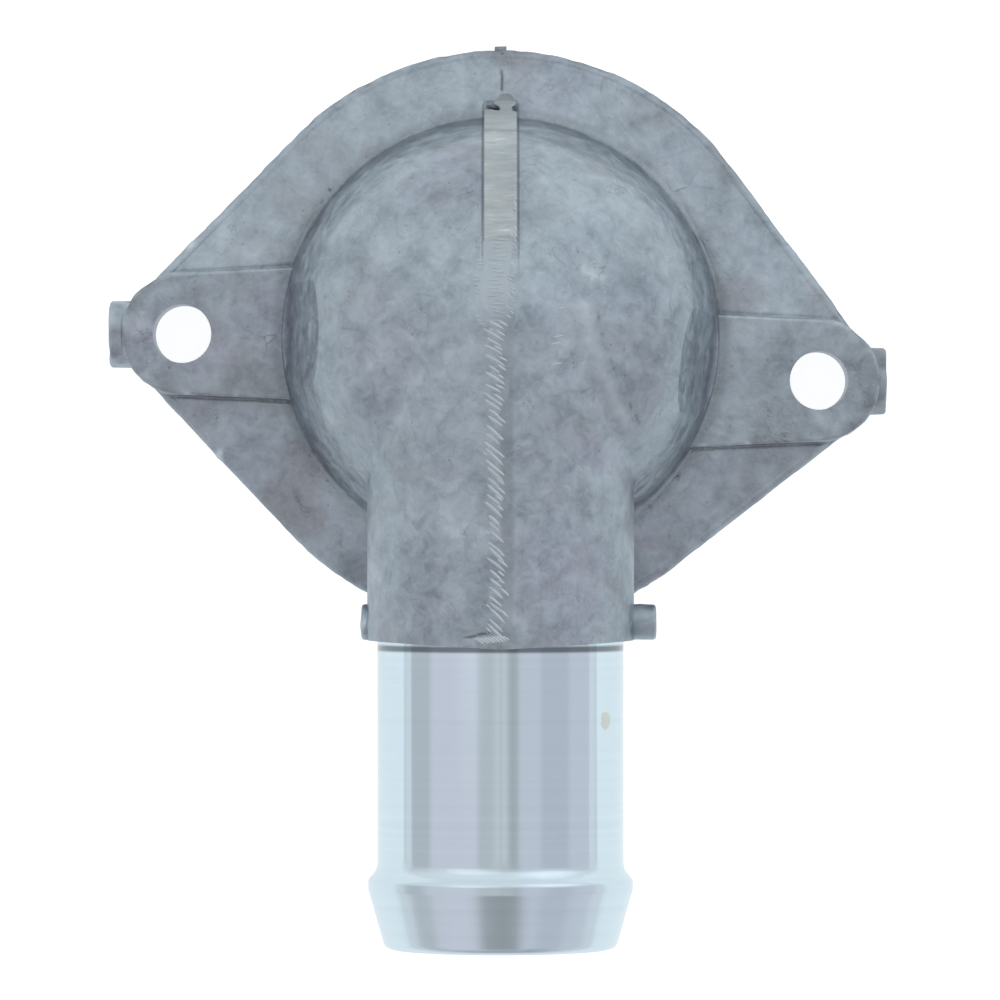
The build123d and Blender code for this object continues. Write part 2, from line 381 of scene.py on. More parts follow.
# %% [markdown]
# ## Where the skin is still as cast
# Turning, grinding and milling cut the cast skin away and left smooth faces. A mask for them could be
# painted. Distances from the neck's axis, the bolt holes and the joint face are exact, and they use
# the same sizes as the solid.

# %% Which places keep the cast skin
def cast_amount(p):
    """1 on cast skin and 0 on turned, ground, milled, drilled and hidden faces."""
    x, y, z = p.T
    past_shoulder = step(y, SHOULDER - 0.05, SHOULDER + 1.3)
    round_shoulder = step(neck_distance(p), NECK_RADIUS + 0.1, NECK_RADIUS + 0.6) * (y > SHOULDER - 0.3)
    keep = np.clip(past_shoulder + round_shoulder, 0, 1) * step(z, 0.3, 1.2)
    for bx, by in BOLTS:
        keep *= step(np.hypot(x - bx, y - by), HOLE_RADIUS + 0.05, HOLE_RADIUS + 0.6)
    across_gate = 1 - step(np.abs(x), GATE_HALF_WIDTH - 0.35, GATE_HALF_WIDTH + 0.05)
    on_gate = across_gate * step(y, GATE_INNER_END, GATE_INNER_END + 3)
    return keep * (1 - 0.85 * on_gate)


print("share of the points with cast skin:", round(float(cast_amount(points).mean()), 2))


# %% [markdown]
# ## The gate's stub
# The metal came in through the gate. Its strip was broken off at the rim and ground flat over the
# web and the dome. The break left a torn tongue, and the belt lifted gently off the dome. The stub
# could be cut with a boolean, but lowering its points keeps the skin closed.

# %% The gate's torn end, and its other end that fades out on the dome
def skin_under_gate(p):
    """Height of the web and the dome below each point, as if the gate had never been there."""
    r = np.hypot(p[:, 0], p[:, 1])
    web = WEB_RIM_HEIGHT + WEB_RISE * np.clip((WEB_RIM - r) / (WEB_RIM - DOME_FOOT), 0, 1)
    dome = DOME_BASE + DOME_RISE * np.sqrt(np.clip(1 - (r / DOME_RADIUS) ** 2, 0, 1))
    elbow_end = NECK_HEIGHT + np.sqrt(np.clip(CAST_RADIUS ** 2 - r ** 2, 0, None))
    return np.where(r > DOME_RADIUS, web, np.maximum(dome, elbow_end))


def gate_loss(p):
    """How many mm of the gate's stub are missing at its torn outer end and its faded inner end."""
    x, y, z = p.T
    ragged = 0.12 * field(p * (1, 1, 0), 0.5, 21)
    head_y = 30.9
    head = 1 - step(np.abs(y - head_y), 0.25, 0.8)
    left, right = 0.05 + 0.80 * head + ragged, 1.40 + 0.50 * head + ragged
    beside_tongue = np.maximum(step(-x, left, left + 0.28), step(x, right, right + 0.28))
    past_break = y - GATE_BREAK + 0.08 * x - ragged
    sunk = np.clip(0.4 + 0.7 * np.maximum(-x - left, x - right), 0.4, 1)
    torn = beside_tongue * step(past_break, 0, 0.32) * sunk
    faded = 1 - step(y, GATE_INNER_END, GATE_INNER_END + 4.5)
    stands_out = np.clip(z - skin_under_gate(p), 0, 6)
    on_gate = (np.abs(x) < GATE_HALF_WIDTH + 0.05) & (z > OVER_LAND)
    on_gate &= (y > GATE_INNER_END - 0.5) & (y < GATE_LIP + 0.1)
    return on_gate * stands_out * np.clip(torn + faded, 0, 1)


def tongue_reach(p):
    """How many mm further along Y the tip of the torn tongue lies. The web beyond it gives way smoothly."""
    x, y, z = p.T
    longest, tip_x = 0.8, 0.7
    tip = longest * (1 - step(np.abs(x - tip_x), 0.45, 1.35))
    towards_tip = step(y, GATE_LIP - 0.6, GATE_LIP)
    beyond = np.clip(1 - (y - GATE_LIP) / 1.6, 0, 1)
    return tip * np.where(y < GATE_LIP, towards_tip, beyond) * (z > OVER_LAND)


print("the gate's stub loses up to", round(float(gate_loss(points).max()), 1), "mm")


# %% [markdown]
# ## Spot, rim and flow seam
# Two cold streams of metal left a pitted seam on the dome, crumbs of metal stuck at one spot, and
# trimming left the rim ragged. A painted dent would look flat from the side. These are true heights,
# and the same values colour the metal later, with painted highlights on the seam's ridge and the spot.

# %% The pitted spot, the rim and the flow seam
def pitted_spot(p):
    """A small spot on the right of the dome, where crumbs of metal stand between pits and carry painted
    highlights.
    """
    x, y, z = p.T
    off = np.hypot(x - PITTED_SPOT[0], y - PITTED_SPOT[1])
    crumbs = field(p, 0.45, 36)
    return np.exp(-((off / 1.5) ** 2)) * (z > ON_CROWN) * crumbs


def rim_marks(p):
    """A fill that softens the inner edge of the rim's land, and how ragged and dark the outline is."""
    x, y, z = p.T
    depth = outline_depth(p)
    land_width = 1.2
    fill = 0.09 * np.clip(1 - np.abs(depth - land_width) / land_width, 0, 1) ** 2 * (z > UNDER_LAND) * (z < 8)
    at_edge = (1 - step(depth, 0.1, 0.8)) * (z > 4.0) * (z < 10.2) * (y > SHOULDER)
    ragged = at_edge * np.clip(0.35 + 1.1 * field(p, 1.3, 32), 0, 1)
    return fill, ragged


def flow_seam(p):
    """A pitted line down the right of the dome, and the low smooth ridge beside it."""
    off, shows = dome_seam(p)
    pitted = shows * np.exp(-((off / 0.20) ** 2)) * np.clip(0.30 + 1.3 * field(p, 0.55, 34), 0, 1)
    return pitted, shows * np.exp(-(((off + 1.7) / 0.9) ** 2))


print("strongest pitting along the seam:", round(float(flow_seam(points)[0].max()), 2))


# %% [markdown]
# ## Flap, crease and pads
# A flap of skin has lifted at the neck's shoulder, metal fills the crease above the elbow, and the
# pads have a seam at each foot where parts of the die met. Separate strips of mesh could show them.
# A line with a width is simpler: the distance from it gives a rounded groove or ridge.

# %% The flap, the filled crease and the pads' seams
def shoulder_flap(p):
    """A crack where a flap of skin has lifted, left of the last burrs above the shoulder."""
    x, y, z = p.T
    line = -38.4 + 0.19 * (x + 1.47) + 0.12 * field(p, 1.1, 31)
    span = step(x, -5.2, -4.2) * (1 - step(x, -1.6, -1.2))
    return np.exp(-(((y - line) / 0.15) ** 2)) * span * (z > ON_CROWN)


def elbow_blend(p):
    """Metal that fills the crease between the elbow's end and the dome, on the side towards the gate."""
    x, y, z = p.T
    crease_radius, half_width, thickest = 10.9, 3.2, 0.34
    from_crease = np.abs(np.hypot(x, y) - crease_radius) / half_width
    toward_gate = 1 - step(np.abs(np.arctan2(x, y)), 0.6, 1.1)
    return thickest * np.clip(1 - from_crease, 0, 1) ** 2 * toward_gate * (z > ON_CROWN)


def pad_seams(p):
    """The seam along the foot of each pad's side, deeper on the lower side, with a burr above it. The seam is
    also painted shade, and the burr partly a painted highlight.
    """
    x, y, z = p.T
    seam, burr = np.zeros(len(p)), np.zeros(len(p))
    for bx, by in BOLTS:
        off = off_pad_side(x, y, bx, by)
        on_side = (x * bx > 0) * step(np.abs(bx) - np.abs(x), -4.0, 1.0) * (np.hypot(x, y) > DOME_FOOT)
        on_side = on_side * (z > UNDER_LAND) * (z < PAD_EDGE_TOP)
        lower_side = y < by
        depth = np.where(lower_side, 1.0, 0.45) * (0.85 + 0.2 * field(p, 4.0, 28))
        crumbs = np.clip(field(p, 0.8, 29), 0, 1)
        seam += on_side * depth * np.exp(-(((off - 0.12) / 0.24) ** 2))
        burr += on_side * lower_side * crumbs * np.exp(-(((off + 0.35) / 0.22) ** 2))
    return seam, burr


print("strongest seam beside a pad:", round(float(pad_seams(points)[0].max()), 2))


# %% [markdown]
# ## Scrapes, nicks and the whole skin
# Handling scraped the rim beside the gate and chipped its edge. The random field turns into scrapes
# when it is stretched along a slant. Then all heights are added up. A sum is better than one step
# after another, because its slope can be measured by a small step along each axis.

# %% Scrapes, nicks and the whole skin
def scrapes(p):
    """Shallow slanting scrapes on the cover's rim beside the gate, and a crack line beside the nub."""
    x, y, z = p.T
    beside_gate = np.exp(-(((x - 3.6) / 4.2) ** 2) - ((y - 33.6) / 1.5) ** 2)
    further_left = np.exp(-(((x + 17.5) / 5.0) ** 2) - ((y - 30.6 - 0.4 * (x + 17.5)) / 1.0) ** 2)
    slanting = np.stack([(x + 0.9 * y) * 0.25, (y - 0.9 * x) * 2.2, z], 1)
    lines = np.clip(field(slanting, 1.0, 26), 0, 1)
    off_crack = x - 0.15 - 0.1 * field(p, 0.8, 27)
    crack = np.exp(-((off_crack / 0.14) ** 2)) * step(y, 31.8, 32.6)
    return (0.09 * (beside_gate + 0.7 * further_left) * lines + 0.16 * crack) * (z > UNDER_LAND) * (z < 12)


def flash_nicks(p):
    """Crumbs of flash on the outline, where the die's edge was chipped."""
    x, y, z = p.T
    crumbs = np.zeros(len(p))
    for nick_x, nick_y in NICKS:
        crumbs += np.exp(-((x - nick_x) ** 2 + (y - nick_y) ** 2) / 0.5)
    return crumbs * (0.8 + 0.4 * field(p, 0.7, 23)) * (z > 0.1)


def skin_height(p):
    """How far the real skin lies above the solid, in mm. It is mostly below, so the part stays in its box."""
    waves = 0.045 * field(p, 5.5, 11) + 0.024 * field(p, 2.3, 12) + 0.014 * field(p, 1.1, 13)
    pits = -0.06 * step(field(p, 1.6, 14), 0.60, 0.85)
    skin = cast_amount(p) * (waves + pits - 0.03)
    seam, burr = pad_seams(p)
    added = 0.22 * flash_nicks(p) + 0.10 * burr + elbow_blend(p)
    fill, ragged = rim_marks(p)
    pitted, ridge = flow_seam(p)
    cut = 0.15 * seam + scrapes(p) + web_corners(p) + 0.14 * shoulder_flap(p)
    cut = cut + 0.16 * ragged + 0.10 * pitted
    return skin + added + fill + 0.12 * ridge + 0.05 * pitted_spot(p) - cut


def slope(height, p, limit=1.2):
    """The height's gradient at each point, in mm per mm and no steeper than the limit."""
    small_step = 0.04
    here = height(p)
    rise = np.stack([(height(p + small_step * axis) - here) / small_step for axis in np.eye(3)], 1)
    steepest = np.linalg.norm(rise, axis=1, keepdims=True)
    return rise * np.minimum(1, limit / np.maximum(steepest, 1e-9))


moved = skin_height(points)
print("the skin moves by", round(float(moved.min()), 3), "to", round(float(moved.max()), 3), "mm")


# %% [markdown]
# ## Press the marks in
# A Displace modifier could push the skin in from a texture. Here the points are moved directly, so no
# picture is needed. The normals are bent by the slope as well, which makes dents that are smaller
# than a triangle catch the light.

# %% Press the marks into the skin
point_normal = np.zeros_like(points)
for corner in range(3):
    np.add.at(point_normal, tris[:, corner], normals[:, corner])
point_normal = unit(point_normal)
flat_places = points[tris]
seam, burr = pad_seams(points)
fill, ragged = rim_marks(points)
pitted, ridge = flow_seam(points)
spot = pitted_spot(points)
# Bright colour: bare metal at the nicks and burrs, and painted highlights on the pads' lower edges, the flow
# seam's ridge and the pitted spot.
bare_metal_and_highlight = flash_nicks(points) + 0.8 * burr + 0.42 * ridge + 1.1 * np.clip(spot, 0, 1)
bare_metal_and_highlight = np.clip(bare_metal_and_highlight, 0, 1)
# Dark colour: scrapes, cracks, pits and the rim's dark outline, and painted shade in the seams at the pads'
# feet, strongest on the lower side.
dark_groove_and_shade = 5.0 * scrapes(points) + 0.9 * seam + 0.9 * shoulder_flap(points) + 0.6 * ragged + 0.5 * pitted
dark_groove_and_shade = np.clip(dark_groove_and_shade, 0, 1)
gradient = slope(skin_height, points)[tris] - slope(gate_loss, points, 0.5)[tris] * normals[..., 2:3]
bent = unit(normals - (gradient - dot(gradient, normals) * normals))
lost = gate_loss(points)
reach = tongue_reach(points)
points = points + point_normal * moved[:, None]
points[:, 2] -= lost
points[:, 1] += reach
box_low, box_high = np.array(cad_box) / MM
points = np.clip(points, box_low, box_high)
print("skin pressed in, with slopes up to", round(float(np.abs(gradient).max()), 2))

# %% [markdown]
# ## Burrs along the parting line
# Where the halves of the die met, trimming left a line of bright slivers, like slashes. They are too
# thin for the skin's triangles, and painted ones wouldn't catch the light. So each one is a small
# roof of its own, a ridge with two sloping sides that lies on the skin. A ray straight down finds
# the skin's height under each of its points.

# %% Make one sliver
ABOVE_ALL = 60.0
SLIVER_STATIONS = 10
skin_below = BVHTree.FromPolygons(points.tolist(), tris.tolist())
chance = np.random.RandomState(5)


def sliver(x, y, length, lean, width, height):
    """A burr about (x, y), tapered to both ends. Returns its points, triangles and flat normals."""
    count = SLIVER_STATIONS
    along = np.linspace(-0.5, 0.5, count)[:, None]
    forward = np.array([math.cos(lean), -math.sin(lean)])
    side = np.array([-forward[1], forward[0]])
    bow = chance.uniform(-0.03, 0.03) * length * 4 * along ** 2
    spine = np.array([x, y]) + length * along * forward + bow * side
    taper = np.sqrt(np.clip(1 - (2 * along) ** 2, 0.03, 1))
    rows = []
    for across, lift in ((-0.5, -0.01), (0.0, height), (0.5, -0.01)):
        place = spine + across * width * taper * side
        level = [skin_below.ray_cast((px, py, ABOVE_ALL), (0, 0, -1))[0][2] for px, py in place]
        smooth = np.polyval(np.polyfit(along[:, 0], level, 2), along[:, 0]) + 0.02
        rows.append(np.column_stack([place, smooth + lift * taper[:, 0]]))
    starts = [row * count + i for row in (0, 1) for i in range(count - 1)]
    corners = [(a, a + count, a + 1) for a in starts] + [(a + 1, a + count, a + count + 1) for a in starts]
    made, corners = np.concatenate(rows), np.array(corners)
    a, b, c = (made[corners[:, i]] for i in range(3))
    flat = unit(np.cross(b - a, c - a))
    down = flat[:, 2] < 0
    corners[down] = corners[down][:, ::-1]
    flat[down] *= -1
    return made, corners, np.repeat(flat[:, None], 3, axis=1)


print("a sliver has", 3 * SLIVER_STATIONS, "points and", 4 * (SLIVER_STATIONS - 1), "triangles")

# %% [markdown]
# ## Where the slivers lie
# They lean one way down the tube, fan out on the dome and thin out at the ground strip. Particles
# could scatter them, but the real ones lie in rows. So they are set in rows with a little seeded
# chance. Each has its place, length, lean, width and height, in millimetres and radians.

# %% Slivers from the dome's middle down to the shoulder
draw = chance.uniform
burrs = []
y = 0.9
while y > SHOULDER + 1.9:
    lean = draw(0.48, 0.64) if y > -12 else draw(0.64, 0.80)
    line_x = -0.72 + 0.15 * math.sin(y / 7.0) + draw(-0.2, 0.2)
    burrs.append((line_x, y, draw(1.8, 3.2), lean, draw(0.34, 0.5), draw(0.04, 0.08)))
    if draw() < 0.65:
        burrs.append((line_x + draw(0.6, 1.0), y + 0.2, draw(0.9, 1.7), lean, 0.32, 0.06))
    if draw() < 0.3:
        burrs.append((line_x - draw(0.6, 1.0), y - 0.6, draw(0.5, 1.0), lean, 0.24, 0.04))
    y -= draw(0.8, 1.4)
print(len(burrs), "slivers below the dome's middle")

# %% A fan of thin slivers from the dome's middle to the ground strip
FAN_START, FAN_END, FAN_STEP, FAN_NARROWS = 1.5, 12.6, 0.52, 9.8
for y in np.arange(FAN_START, FAN_END, FAN_STEP):
    drift = draw(-1.6, 0.3) if y < FAN_NARROWS else draw(-0.5, 0.3)
    burrs.append((drift, y, draw(1.0, 3.0), draw(-0.06, 0.20), draw(0.12, 0.22), 0.03))
    if draw() < 0.6 and y < 9.5:
        burrs.append((draw(-3.2, -2.5), y, draw(0.4, 1.2), draw(0.0, 0.35), 0.2, 0.04))
    if draw() < 0.6:
        right = min(draw(0.6, 1.2) + 0.10 * y, 1.5)
        burrs.append((right, y, draw(0.6, 1.5), draw(0.45, 0.85), 0.22, 0.05))
print(len(burrs), "slivers with the fan")

# %% Slivers on the strip's right edge, at the shoulder and on the dome's right
for y in np.arange(11.0, 21.0, 0.8):
    burrs.append((1.9, y, draw(0.3, 1.0), draw(0.8, 1.3), draw(0.14, 0.26), 0.05))
for x in np.arange(-2.7, 0.9, 0.42):
    burrs.append((x, SHOULDER + 1.4 + 0.1 * x, draw(0.9, 1.7), draw(0.45, 0.75), 0.3, 0.06))
for x, y in ((7.7, 3.1), (7.4, -0.5), (7.1, -1.4), (7.2, -4.0)):
    burrs.append((x, y, draw(1.0, 1.5), -0.2, 0.22, 0.05))
print(len(burrs), "slivers in all")

# %% Lay the slivers on the skin
skin_points, skin_tris = len(points), len(tris)
for burr_shape in burrs:
    made, corners, flat = sliver(*burr_shape)
    tris = np.concatenate([tris, corners + len(points)])
    points = np.concatenate([points, made])
    bent = np.concatenate([bent, flat])
points = np.clip(points, box_low, box_high)
print("slivers laid with", len(tris) - skin_tris, "triangles")

# %% [markdown]
# ## One mesh, six finishes
# The casting is one piece of metal, so it stays one object. It could be cut into six, but then
# cracks would open along the cuts. Its faces are sorted by where they lie instead, and each sort
# takes its own material.

# %% Sort the faces
CAST, TURNED, GROUND, MILLED, DRILLED, BURR = range(6)
centre = flat_places.mean(1)
facing = unit(normals.mean(1))
x, y, z = centre.T
out = neck_distance(centre)
finish_of = np.full(skin_tris, CAST)
finish_of[(y < SHOULDER - 0.55) & (out > BORE_RADIUS + 0.05)] = TURNED
finish_of[(y < SHOULDER + 1.2) & (out > BORE_RADIUS + 0.05) & (out < NECK_RADIUS + 0.04)] = TURNED
on_strip = (np.abs(x) < GATE_HALF_WIDTH - 0.02) & (y > GATE_INNER_END + 2.5) & (y < GATE_LIP + 0.2)
still_there = lost[tris[:skin_tris]].max(1) < 0.4
finish_of[on_strip & still_there & (z > 9.2) & (facing[:, 2] > 0.02)] = GROUND
finish_of[(z < 0.02) & (facing[:, 2] < -0.9)] = MILLED
for bx, by in BOLTS:
    finish_of[(np.hypot(x - bx, y - by) < HOLE_RADIUS + 0.03) & (np.abs(facing[:, 2]) < 0.3)] = DRILLED
finish_of = np.concatenate([finish_of, np.full(len(tris) - skin_tris, BURR)])
print("faces of each finish:", np.bincount(finish_of, minlength=6).tolist())

# %% Make the object
skin = bpy.data.meshes.new("housing_skin")
skin.from_pydata((points * MM).tolist(), [], tris.tolist())
skin.polygons.foreach_set("use_smooth", np.ones(len(tris), bool))
skin.normals_split_custom_set(bent.reshape(-1, 3).tolist())
for name, values in (("bare_metal_and_highlight", bare_metal_and_highlight), ("dark_groove_and_shade", dark_groove_and_shade)):
    values = np.concatenate([values, np.zeros(len(points) - skin_points)])
    skin.attributes.new(name, "FLOAT", "POINT").data.foreach_set("value", values.astype(np.float32))
housing = bpy.data.objects.new("housing_visual", skin)
bpy.context.scene.collection.objects.link(housing)
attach(housing, "root")
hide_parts("housing_casting")
print("housing_visual:", len(skin.polygons), "triangles")

# %% [markdown]
# ## Shared effects as node groups
# Some effects turn up on several finishes, such as mottling and tool lines. Painted pictures could
# show them, but noise stays sharp close up and needs no unwrapping. Each effect is built once, as a
# group with named inputs, and a material only says how large and how strong it is.

# %% Helpers for node trees
def node(tree, kind, settings=(), **inputs):
    """A new node. An input i0 is the first one, and _ in an input's name stands for a space."""
    made = tree.nodes.new(kind)
    for key, value in dict(settings).items():
        setattr(made, key, value)
    for key, value in inputs.items():
        by_number = key[0] == "i" and key[1:].isdigit()
        socket = made.inputs[int(key[1:])] if by_number else made.inputs[key.replace("_", " ")]
        if isinstance(value, bpy.types.NodeSocket):
            tree.links.new(value, socket)
        else:
            socket.default_value = value
    return made


def math_node(tree, operation, a, b=0.0, c=0.0, clamp=False):
    settings = {"operation": operation, "use_clamp": clamp}
    return node(tree, "ShaderNodeMath", settings, i0=a, i1=b, i2=c).outputs[0]


def times(tree, product, *factors):
    """All the values multiplied with each other."""
    for factor in factors:
        product = math_node(tree, "MULTIPLY", product, factor)
    return product


def noise(tree, vector, scale, **shape):
    return node(tree, "ShaderNodeTexNoise", Vector=vector, Scale=scale, **shape).outputs[0]


def ramp(tree, value, stops):
    """A colour ramp. Each stop is a place from 0 to 1, with a grey or a colour."""
    made = node(tree, "ShaderNodeValToRGB", Fac=value)
    elements = made.color_ramp.elements
    beyond_all_stops = 0.9
    while len(elements) < len(stops):
        elements.new(beyond_all_stops)
    for element, (place, tint) in zip(elements, stops):
        element.position = place
        element.color = (*np.broadcast_to(tint, 3), 1)
    return made.outputs[0]


def new_group(name, inputs, outputs):
    """A group, with its input and output sockets. An input without a number is a vector."""
    group = bpy.data.node_groups.new(name, "ShaderNodeTree")
    for label, default in inputs.items():
        kind = "NodeSocketVector" if default is None else "NodeSocketFloat"
        socket = group.interface.new_socket(label, in_out="INPUT", socket_type=kind)
        if default is not None:
            socket.default_value = default
    for label in outputs:
        group.interface.new_socket(label, in_out="OUTPUT", socket_type="NodeSocketFloat")
    return group, group.nodes.new("NodeGroupInput").outputs, group.nodes.new("NodeGroupOutput").inputs


print("node groups before the first:", len(bpy.data.node_groups))

# %% [markdown]
# ## Mottling
# Aluminium that cooled unevenly is cloudy, with stains, a fine grain and pores. One noise for each
# gives four values at once, and all their sizes follow one scale, so the group suits a wide stain
# as well as a fine speckle.

# %% Mottling of cast aluminium
mottling, given, result = new_group(
    "Mottling", {"Vector": None, "Scale": 120.0}, ("Clouds", "Stains", "Grain", "Height"))
vector, scale = given["Vector"], given["Scale"]
clouds = noise(mottling, vector, scale, Detail=4.0, Roughness=0.62, Distortion=0.6)
wider, finer, pore_scale = (times(mottling, scale, share) for share in (0.45, 9.0, 5.0))
stains = noise(mottling, vector, wider, Detail=3.0, Roughness=0.5, Distortion=1.5)
grain = noise(mottling, vector, finer, Detail=3.0, Roughness=0.65)
pores = node(mottling, "ShaderNodeTexVoronoi", Vector=vector, Scale=pore_scale)
pore_mask = ramp(mottling, pores.outputs["Distance"], ((0.0, 0.0), (0.22, 1.0)))
relief = math_node(mottling, "ADD", times(mottling, grain, 0.6), times(mottling, pore_mask, 0.35))
mottling.links.new(ramp(mottling, clouds, ((0.32, 0.0), (0.68, 1.0))), result["Clouds"])
mottling.links.new(ramp(mottling, stains, ((0.50, 0.0), (0.72, 1.0))), result["Stains"])
mottling.links.new(grain, result["Grain"])
mottling.links.new(relief, result["Height"])
print("group Mottling:", len(mottling.nodes), "nodes")

# %% [markdown]
# ## Flow marks
# Where the metal folded or trapped air, the skin has short cracks, dark specks and small rings.
# Curves could be drawn for them. A noise crosses its middle value along winding lines, though, which
# look like cracks, and the cells of a Voronoi pattern give round spots by chance.

# %% Flow marks: short cracks where a winding noise is near its middle value
flow_marks, given, result = new_group(
    "Flow marks", {"Vector": None, "Scale": 200.0, "Amount": 0.5}, ("Cracks", "Specks", "Rings"))
vector, scale = given["Vector"], given["Scale"]
wide_scale = times(flow_marks, scale, 0.45)
winding = noise(flow_marks, vector, wide_scale, Detail=4.0, Roughness=0.55, Distortion=1.4)
off_line = math_node(flow_marks, "ABSOLUTE", math_node(flow_marks, "SUBTRACT", winding, 0.5))
crack = ramp(flow_marks, off_line, ((0.0, 1.0), (0.012, 0.0)))
cracked = noise(flow_marks, vector, times(flow_marks, scale, 0.7), Detail=3.0)
low_edge = math_node(flow_marks, "SUBTRACT", 0.86, times(flow_marks, given["Amount"], 0.5))
over_edge = math_node(flow_marks, "SUBTRACT", cracked, low_edge)
patch = math_node(flow_marks, "MULTIPLY", over_edge, 6.0, clamp=True)
flow_marks.links.new(times(flow_marks, crack, patch), result["Cracks"])
print("cracks:", len(flow_marks.nodes), "nodes")


# %% Flow marks: dark specks and the rings of small bubbles
def scattered(tree, cell_scale, channel, above, stops):
    """Round marks in some of the cells of a Voronoi pattern, drawn by their distance from its middle."""
    cells = node(tree, "ShaderNodeTexVoronoi", Vector=vector, Scale=times(tree, scale, cell_scale))
    lot = node(tree, "ShaderNodeSeparateColor", Color=cells.outputs["Color"]).outputs[channel]
    mark = ramp(tree, cells.outputs["Distance"], stops)
    return times(tree, mark, math_node(tree, "GREATER_THAN", lot, above))


specks = scattered(flow_marks, cell_scale=2.4, channel=0, above=0.78, stops=((0.05, 1.0), (0.16, 0.0)))
RING_STOPS = ((0.08, 0.0), (0.11, 1.0), (0.14, 0.0))
rings = scattered(flow_marks, cell_scale=0.8, channel=1, above=0.86, stops=RING_STOPS)
flow_marks.links.new(specks, result["Specks"])
flow_marks.links.new(rings, result["Rings"])
print("group Flow marks:", len(flow_marks.nodes), "nodes")

# %% [markdown]
# ## Tool lines
# A lathe tool or a drill leaves lines side by side. A wave texture would be too even. A noise in one
# dimension gives lines of uneven depth, and a second, wider one gives the bands between them.

# %% Fine tool lines
fine_lines, given, result = new_group(
    "Fine lines", {"Across": 0.0, "Per millimetre": 5.0}, ("Lines", "Bands"))
at = times(fine_lines, given["Across"], 1 / MM, given["Per millimetre"])
LINE_SHAPES = (("Lines", 1.0, {"Detail": 4.0, "Roughness": 0.7}), ("Bands", 0.13, {"Detail": 2.0}))
for label, stretch, detail in LINE_SHAPES:
    one_way = node(fine_lines, "ShaderNodeTexNoise", {"noise_dimensions": "1D"},
                   W=times(fine_lines, at, stretch), Scale=1.0, **detail)
    fine_lines.links.new(one_way.outputs[0], result[label])
print("group Fine lines:", len(fine_lines.nodes), "nodes")

# %% [markdown]
# ## The six materials
# All six are one metal with different surfaces: the cast skin, the turned neck, the ground strip, the
# milled joint face, the walls of the bolt holes and the slivers of flash. So each starts from the
# same metallic shader and lays its own tints over each other by masks. Masks are worked out from the
# place on the part, which is the object coordinate in metres.

# %% Helpers for the materials
def new_material(name, metallic, roughness):
    material = bpy.data.materials.new(name)
    material.use_nodes = True
    tree = material.node_tree
    shader = tree.nodes["Principled BSDF"]
    shader.inputs["Metallic"].default_value = metallic
    shader.inputs["Roughness"].default_value = roughness
    return material, tree, shader, tree.nodes.new("ShaderNodeTexCoord").outputs["Object"]


def add_group(tree, group, **inputs):
    return node(tree, "ShaderNodeGroup", {"node_tree": group}, **inputs).outputs


def along_axes(tree, place):
    return node(tree, "ShaderNodeSeparateXYZ", Vector=place).outputs


def vector_math(tree, operation, a, b=(0.0, 0.0, 0.0)):
    return node(tree, "ShaderNodeVectorMath", {"operation": operation}, i0=a, i1=b).outputs


def mix_colour(tree, amount, first, second):
    """The first colour at 0 and the second at 1. A colour is a socket or three numbers."""
    first, second = (c if isinstance(c, bpy.types.NodeSocket) else (*c, 1) for c in (first, second))
    return node(tree, "ShaderNodeMix", {"data_type": "RGBA"}, i0=amount, i6=first, i7=second).outputs[2]


def cover(tree, colour, mask, amount, tint):
    """The colour with a tint laid over it, at most by this amount, where the mask is 1."""
    return mix_colour(tree, times(tree, mask, amount), colour, tint)


def fade(tree, value, outer, inner, most=1.0):
    """0 at outer and beyond, most at inner and beyond, and a smooth change between."""
    made = node(tree, "ShaderNodeMapRange", {"interpolation_type": "SMOOTHSTEP"}, Value=value,
                From_Min=outer, From_Max=inner, To_Max=most)
    return made.outputs[0]


def soft_band(tree, value, middle, width):
    """1 at the middle of a band and 0 outside it."""
    off = math_node(tree, "ABSOLUTE", math_node(tree, "SUBTRACT", value, middle))
    return fade(tree, off, width, 0.3 * width)


def distance_in_plan(tree, place):
    """Distance in metres from the dome's upright axis."""
    flat = vector_math(tree, "MULTIPLY", place, (1.0, 1.0, 0.0))[0]
    return vector_math(tree, "LENGTH", flat)["Value"]


def link_shader(material, shader, colour, relief, strength, deepest):
    """Give the shader its colour, and its normals from a relief. The deepest bump is in metres."""
    tree = material.node_tree
    bump = node(tree, "ShaderNodeBump", Strength=strength, Distance=deepest, Height=relief)
    tree.links.new(colour, shader.inputs["Base Color"])
    tree.links.new(bump.outputs[0], shader.inputs["Normal"])
    print(material.name + ":", len(tree.nodes), "nodes")


print("groups to choose from:", [group.name for group in bpy.data.node_groups])

# %% [markdown]
# ## Cast skin
# Die-cast aluminium is dull and blue-grey, cloudy where it cooled unevenly and brownish where the
# die's lubricant burnt in. A single noise would look like fog. Mottling in three sizes looks like
# metal, because fine clouds break up the wide ones.

# %% Cast skin: clouds of three sizes, and brown stains
cast, tree, shader, place = new_material("cast_skin", metallic=0.92, roughness=0.45)
parts = along_axes(tree, place)
small, middling, wide = (add_group(tree, mottling, Vector=place, Scale=size) for size in (420.0, 150.0, 52.0))
WIDE_SHARE, SMALL_SHARE, MIDDLING_SHARE, LEAST_LILAC = 0.22, 0.47, 0.31, 0.12
BROWN = (0.25, 0.235, 0.245)
tone = times(tree, wide["Clouds"], WIDE_SHARE)
tone = math_node(tree, "MULTIPLY_ADD", small["Clouds"], SMALL_SHARE, tone)
tone = math_node(tree, "MULTIPLY_ADD", middling["Clouds"], MIDDLING_SHARE, tone)
lilac = mix_colour(tree, tone, (0.195, 0.215, 0.275), (0.535, 0.575, 0.665))
green = mix_colour(tree, tone, (0.19, 0.24, 0.275), (0.52, 0.61, 0.655))
colour = mix_colour(tree, math_node(tree, "MAXIMUM", wide["Stains"], LEAST_LILAC), green, lilac)
colour = cover(tree, colour, middling["Stains"], 0.42, BROWN)
print("clouds and stains:", len(tree.nodes), "nodes")
